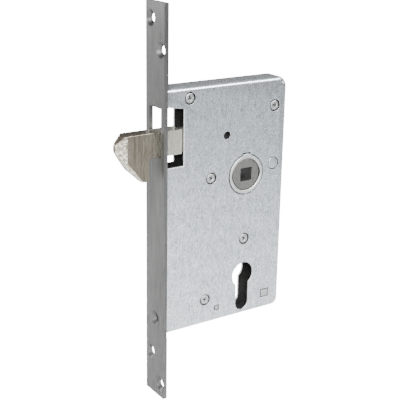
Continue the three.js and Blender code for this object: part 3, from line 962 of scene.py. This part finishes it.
@dataclass
class FollowerBushes:
    """Keyed bushes: a ring profile carried round, with a key that stands out at the top.

    Attributes:
        sleeve: radius of the sleeve that shows in the plate.
        bore: radius of the hole that the follower turns in.
        flange: radius of the flange inside the case.
        flange_thick: thickness of the flange.
        key_half: half the key's width.
        key_rise: how far the key stands out.
        relief: depth of the hollows at the bore's two sides.
        ease: width of the broken edges.
    """

    sleeve: float = 13.25
    bore: float = 10.95
    flange: float = 16.0
    flange_thick: float = 1.2
    key_half: float = 2.9
    key_rise: float = 0.9
    relief: float = 0.55
    ease: float = 0.3

    def outer(self, angle: np.ndarray) -> np.ndarray:
        """The sleeve's radius: its circle, or the key's flat top where |x| is under key_half.

        Args:
            angle: angles round the follower's axis, 90 degrees being up.

        Returns:
            The radius at each angle.
        """
        across = self.sleeve * np.cos(angle)
        rise = np.clip((self.key_half - np.abs(across)) / 0.25 + 0.5, 0.0, 1.0)
        return self.sleeve + np.where(np.sin(angle) > 0.0, self.key_rise * rise, 0.0)

    def build(self) -> None:
        """Makes the near and the far bush.

        A row is (radius, y, keyed). A keyed row's radius is measured from the sleeve's. The
        bore's rows are hollowed at both sides by relief times |cos a| to the power 14.
        """
        angle = full_turn(288)
        for side, sign in (("near", -1.0), ("far", 1.0)):
            node = f"follower_bush_{side}"
            low, high = corners_of(node)
            face, inner = (low[1], high[1]) if sign < 0 else (high[1], low[1])
            shoulder, lip = inner + sign * self.flange_thick, self.bore + 0.35
            rows = [
                (self.bore, (face + inner) / 2, False), (self.bore, face - sign * 0.35, False),
                (lip, face, False), (-self.ease, face, True), (0.0, face - sign * self.ease, True),
                (0.0, shoulder, True), (self.flange, shoulder, False),
                (self.flange, inner, False), (self.bore, inner, False),
            ]
            outer = self.outer(angle)
            relief = self.relief * np.abs(np.cos(angle)) ** 14
            ring = np.array([outer + radius if keyed else radius + relief * (radius <= lip)
                             for radius, _, keyed in rows])
            height = np.array([y for _, y, _ in rows])[:, None] + 0.0 * angle
            grid = np.stack([ring * np.cos(angle), height, ring * np.sin(angle)], axis=-1)
            axis, _ = middle_of(node)
            surface = grid_surface(grid, wrap_rows=True).moved(axis[0], 0.0, 0.0)
            spot = surface.middles()
            away = np.hypot(*(spot - axis)[:, ::2].T)
            below = np.abs(spot[:, 1]) < abs(face) - 0.5
            # Painted shade: the bush's faces below the plate's surface, round its flange and along
            # its bore, get the near-black shade colour.
            shade_painted_faces = below & ((away > self.sleeve - 0.4) | (away < self.bore + 0.9))
            piece = Piece(node, f"keyed_bush_{side}", Finish.BUSH,
                          extra=[(Finish.PAINTED_SHADE, shade_painted_faces)])
            piece.place(surface)


@dataclass
class CoilSprings:
    """Round wire wound into coil springs.

    Attributes:
        wires: for each node its piece's name, the wire's radius, the turns, the joint that
            shortens it, the share of its length that is left, and whether its top stays put.
        per_turn: rings of points on one turn.
        sides: points on one ring.
        nip: share of the wire over which its cut ends close.
    """

    wires: dict[str, tuple[str, float, int, str, float, bool]] = field(default_factory=lambda: {
        "hook_spring": ("hook_coil_spring", 0.5, 8, "hook_lift", 0.77, True),
        "return_spring": ("follower_coil_spring", 0.6, 7, "hook_lift", 0.80, False),
    })
    per_turn: int = 28
    sides: int = 12
    nip: float = 0.0025

    def build(self) -> None:
        """Makes both springs as tubes along a helix.

        The helix is c(t) = (x + R cos a, R sin a, z(t)) with a = turns 2 pi t, and z(t) flattens
        at both ends so that the end turns lie closed. The tube's ring is r (cos b n + sin b m).
        """
        for node, (name, wire, turns, joint, keep, from_top) in self.wires.items():
            low, high = corners_of(node)
            centre, size = middle_of(node)
            coil = size[0] / 2 - wire
            t = np.linspace(0.0, 1.0, turns * self.per_turn + 1)
            angle = TAU * turns * t
            ends = 1.0 / turns
            rise = np.clip((t - ends) / (1.0 - 2.0 * ends), 0.0, 1.0)
            end_lift = 2 * wire * (np.clip(t / ends, 0, 1) + np.clip((t - 1 + ends) / ends, 0, 1))
            height = low[2] + wire + end_lift + rise * (high[2] - low[2] - 6 * wire)
            path = np.stack([coil * np.cos(angle), coil * np.sin(angle), height], axis=-1)
            out = np.stack([np.cos(angle), np.sin(angle), 0.0 * angle], axis=-1)
            forward = np.gradient(path, axis=0)
            forward /= np.linalg.norm(forward, axis=1, keepdims=True)
            up = np.cross(forward, out)
            around = full_turn(self.sides)[None, :, None]
            shrink = np.clip(np.minimum(t, 1.0 - t) / self.nip, 0.0, 1.0)[:, None, None]
            ring = wire * (np.cos(around) * out[:, None] + np.sin(around) * up[:, None])
            surface = grid_surface(path[:, None] + shrink * ring).moved(centre[0], centre[1], 0.0)
            anchor = (centre[0] * MM, 0.0, (high[2] if from_top else low[2]) * MM)
            piece = Piece(node, name, Finish.SPRING, smooth_angle=60.0,
                          squash=(joint, anchor, keep))
            piece.place(surface)


@dataclass
class HookHead:
    """The hook's nose and shank: its outline in the middle stands out past its side faces.

    Attributes:
        half: half the hook's thickness.
        land: half the width of the flat band along its middle.
        arm_top: top of the shank.
        arm_bottom: underside of the shank.
        rear: rear end of the shank.
        edge: width of the rounded edge of a side face.
        nose_back: the nose's rear face.
        hub: a point (x, z) of the side face that sees all of its outline.
        corner: how far the outline's corners are eased.
        stretch: points on each stretch of the outline.
        ground: first and last stretch of the outline that is ground bright.
        tongue_end: rear end of the tongue that laps the arm.
        middle: corners of the nose on the land, from its top to its lower rear, as (x, z).
        side: the same corners on the side faces.
    """

    half: float = 5.2
    land: float = 1.2
    arm_top: float = 36.6
    arm_bottom: float = 20.6
    rear: float = 16.8
    edge: float = 0.45
    nose_back: float = -7.0
    hub: tuple[float, float] = (-12.5, 25.0)
    corner: float = 0.9
    stretch: int = 4
    ground: tuple[int, int] = (10, 43)
    tongue_end: float = 35.0
    middle: Corners = ((-24.7, 36.6), (-29.1, 31.2), (-29.2, 27.0), (-26.0, 21.5), (-21.4, 14.6),
                       (-10.9, 5.0), (-7.0, 4.2))
    side: Corners = ((-22.1, 36.6), (-22.2, 35.4), (-22.3, 25.5), (-22.4, 19.7), (-18.6, 15.0),
                     (-11.3, 6.1), (-7.0, 5.4))

    def loop(self, front: Corners) -> np.ndarray:
        """One closed outline: the nose with its corners eased, then the straight shank.

        Args:
            front: the nose's corners from its top to its lower rear, as (x, z).

        Returns:
            The outline, evenly counted on each stretch.
        """
        start = (0.0, self.arm_top)
        shank = [(self.nose_back, self.arm_bottom), (self.rear, self.arm_bottom),
                 (self.rear, self.arm_top)]
        line = rounded([start, *front, *shank, start], self.corner, 6)[:-1]
        ahead = np.roll(line, -1, axis=0)
        t = (np.arange(self.stretch) / self.stretch)[None, :, None]
        return (line[:, None] * (1.0 - t) + ahead[:, None] * t).reshape(-1, 2)

    def build(self) -> None:
        """Carries the outline across the thickness and closes it with two side faces.

        Across the thickness the outline is middle(s) + k(y) (side(s) - middle(s)), where k is 0
        on the land and rises straight to 1 at the side faces. Each side face shrinks the outline
        to the hub. The rows from the bevel's outer edge to the land are ground bright.
        """
        middle, side = self.loop(self.middle), self.loop(self.side)
        hub = np.array(self.hub)
        inward = (hub - side) / np.linalg.norm(hub - side, axis=1, keepdims=True)
        flat_edge = side + 0.35 * self.edge * inward
        closing = [hub + (flat_edge - hub) * share for share in (0.0, 0.3, 0.6, 0.85, 1.0)]
        across = [side + 0.12 * self.edge * inward, side,
                  *(middle + share * (side - middle) for share in (0.93, 0.5, 0.06, 0.0))]
        depth = [self.half] * len(closing) + [
            self.half - 0.12 * self.edge, self.half - 0.4 * self.edge, self.half - 0.75 * self.edge,
            (self.half + self.land) / 2, self.land + 0.2, self.land - 0.3]
        near = np.array([np.stack([ring[:, 0], 0.0 * ring[:, 0] - d, ring[:, 1]], axis=-1)
                         for ring, d in zip(closing + across, depth)])
        far = near[::-1] * np.array([1.0, -1.0, 1.0])
        head = grid_surface(np.concatenate([near, far]))
        tongue = rounded_block((self.rear - 1.0, -2.5, self.arm_bottom + 0.5),
                               (self.tongue_end, -0.15, self.arm_top - 0.5), 0.3)
        rows, columns = 2 * len(near), len(side)
        row, column = np.arange(rows - 1)[:, None], np.arange(columns)[None, :]
        row_in = np.minimum(row, rows - 2 - row) - len(closing)
        first, last = (self.stretch * place for place in self.ground)
        ground = (column >= first) & (column < last) & (row_in >= 1) & (row_in <= 3)
        chosen = np.zeros(len(head.faces) + len(tongue.faces), dtype=bool)
        chosen[:ground.size] = ground.reshape(-1)
        piece = Piece("hook_head", "hook_nose_and_shank", Finish.NICKEL, smooth_angle=24.0,
                      extra=[(Finish.EDGE, chosen)])
        piece.place(head.joined(tongue))


# ---------------------------------------------------------------- studio


@dataclass(frozen=True)
class SoftLight:
    """An area light that looks at the lock.

    Attributes:
        name: the light's name.
        place: where it stands, in metres.
        size: its width and height, in metres.
        watts: its power.
    """

    name: str
    place: Point
    size: tuple[float, float]
    watts: float


@dataclass
class Studio:
    """Pale floor, soft lights, sky and the camera, in metres and degrees.

    Attributes:
        floor_height: height of the floor, just under the forend's foot.
        floor_reach: how far the floor goes from the lock.
        floor_dark: the floor's colour far away, where the painted fall-off of light ends.
        floor_light: its colour at the middle of a pool of light painted on the floor behind the
            lock.
        light_pool: the painted pool's middle with its signs turned, in pool radii.
        light_pool_scale: pool radii per metre.
        glow: how bright the floor is where the camera sees it.
        glow_share: the glow's share of the seen floor; the rest takes light and shadow.
        sky_power: how bright the sky is as a light.
        sky_seen: how bright it is where the camera sees it.
        azimuth: the camera's direction, turned from -Y towards -X when negative.
        elevation: its height above the horizon.
        roll: its turn about its line of sight.
        eye: where it stands.
        lens: its focal length in millimetres.
        shift: its sensor's shift.
        lights: the soft lights.
    """

    floor_height: float = -0.1473
    floor_reach: float = 6.0
    floor_dark: Colour = (0.26, 0.27, 0.28)
    floor_light: Colour = (0.97, 0.97, 0.97)
    light_pool: Point = (0.26, -0.28, 0.0)
    light_pool_scale: Point = (0.95, 0.95, 1.0)
    glow: float = 18.5
    glow_share: float = 0.9
    sky_power: float = 0.17
    sky_seen: float = 17.0
    azimuth: float = -33.89
    elevation: float = 18.12
    roll: float = 1.05
    eye: Point = (-0.28331, -0.47694, 0.17623)
    lens: float = 82.66
    shift: tuple[float, float] = (-0.0085, -0.0118)
    lights: tuple[SoftLight, ...] = (
        SoftLight("key_light", (-0.75, -0.9, 0.7), (0.9, 0.9), 37.0),
        SoftLight("bend_light", (0.62, -0.72, 0.75), (0.9, 0.3), 15.0),
        SoftLight("top_light", (0.0, -0.7, 1.0), (1.2, 0.4), 7.0),
        SoftLight("front_light", (-0.12, -0.42, 0.55), (0.5, 0.3), 5.5),
        SoftLight("rear_light", (-0.85, 1.35, 0.3), (0.7, 0.5), 13.0),
    )

    def build(self) -> None:
        """Sets up the floor, the lights, the sky and the camera."""
        self.floor()
        self.sky()
        for light in self.lights:
            self.hang(light)
        self.camera()

    def floor(self) -> None:
        """A wide pale floor that stays bright where the camera sees it."""
        graph = Graph("pale_floor")
        # Painted pool of light: the floor's colour goes from pale near the lock to dark far away,
        # standing in for light falling off.
        place = graph.add("TexCoord").outputs["Object"]
        nearby = graph.add("Mapping", Vector=place, Location=self.light_pool, Scale=self.light_pool_scale)
        ball = graph.add("TexGradient", {"gradient_type": "SPHERICAL"},
                         Vector=nearby.outputs["Vector"])
        tone = graph.mix(ball.outputs["Fac"], self.floor_dark, self.floor_light)
        diffuse = graph.add("BsdfDiffuse", Color=tone)
        glow = graph.add("Emission", Color=(1.0, 1.0, 1.0, 1.0), Strength=self.glow)
        seen = graph.add("LightPath").outputs["Is Camera Ray"]
        share = graph.spread(seen, 0.0, 1.0, 0.0, self.glow_share)
        both = graph.add("MixShader", Fac=share)
        graph.tree.links.new(diffuse.outputs[0], both.inputs[1])
        graph.tree.links.new(glow.outputs[0], both.inputs[2])
        corners = self.floor_reach * np.array([[-1, -1, 0], [1, -1, 0], [1, 1, 0], [-1, 1, 0]])
        corners[:, 2] = self.floor_height
        mesh = bpy.data.meshes.new("floor")
        mesh.from_pydata(corners.tolist(), [], [(0, 1, 2, 3)])
        mesh.materials.append(graph.finish(both))
        obj = bpy.data.objects.new("floor", mesh)
        bpy.context.scene.collection.objects.link(obj)

    def sky(self) -> None:
        """An even white sky: dim as a light, and as bright as the floor where it is seen."""
        world = bpy.data.worlds.new("studio_sky")
        world.use_nodes = True
        tree = world.node_tree
        background = tree.nodes["Background"]
        background.inputs["Color"].default_value = (1.0, 1.0, 1.0, 1.0)
        power = tree.nodes.new("ShaderNodeMapRange")
        power.inputs["To Min"].default_value = self.sky_power
        power.inputs["To Max"].default_value = self.sky_seen
        seen = tree.nodes.new("ShaderNodeLightPath")
        tree.links.new(seen.outputs["Is Camera Ray"], power.inputs["Value"])
        tree.links.new(power.outputs["Result"], background.inputs["Strength"])
        bpy.context.scene.world = world

    def hang(self, light: SoftLight) -> None:
        """Hangs a light so that it looks at the middle of the lock.

        Args:
            light: the light.
        """
        data = bpy.data.lights.new(light.name, "AREA")
        data.shape = "RECTANGLE"
        data.size, data.size_y = light.size
        data.energy = light.watts
        obj = bpy.data.objects.new(light.name, data)
        bpy.context.scene.collection.objects.link(obj)
        back = np.array(light.place) - np.array([0.04, 0.0, -0.02])
        obj.matrix_world = self.facing(back / np.linalg.norm(back), light.place, 0.0)

    def facing(self, back: np.ndarray, place: Point, roll: float) -> Matrix:
        """The matrix of something at place that looks along -back.

        Args:
            back: unit direction from the target to the place.
            place: where it stands.
            roll: turn about its own line of sight, in radians.

        Returns:
            Its world matrix.
        """
        right = np.cross([0.0, 0.0, 1.0], back)
        right /= np.linalg.norm(right)
        up = np.cross(back, right)
        turned_right = math.cos(roll) * right + math.sin(roll) * up
        turned_up = math.cos(roll) * up - math.sin(roll) * right
        columns = np.stack([turned_right, turned_up, back, np.array(place)], axis=-1)
        return Matrix([*columns.tolist(), [0.0, 0.0, 0.0, 1.0]])

    def camera(self) -> None:
        """The camera, a little above and in front of the forend's near edge."""
        data = bpy.data.cameras.new("camera")
        data.lens = self.lens
        data.sensor_width = 36.0
        data.shift_x, data.shift_y = self.shift
        data.clip_start, data.clip_end = 0.02, 20.0
        obj = bpy.data.objects.new("camera", data)
        bpy.context.scene.collection.objects.link(obj)
        turn, lift = math.radians(self.azimuth), math.radians(self.elevation)
        back = np.array([math.sin(turn) * math.cos(lift), -math.cos(turn) * math.cos(lift),
                         math.sin(lift)])
        obj.matrix_world = self.facing(back, self.eye, math.radians(self.roll))
        bpy.context.scene.camera = obj


def main() -> None:
    """Builds the studio, then the lock's pieces from its plates to its hook."""
    logging.basicConfig(level=logging.INFO, format="%(name)s: %(message)s")
    for work in (Studio, SheetWork, TurnedWork, CoverScrews, FollowerBushes, CoilSprings, HookHead):
        work().build()


if __name__ == "__main__":
    main()
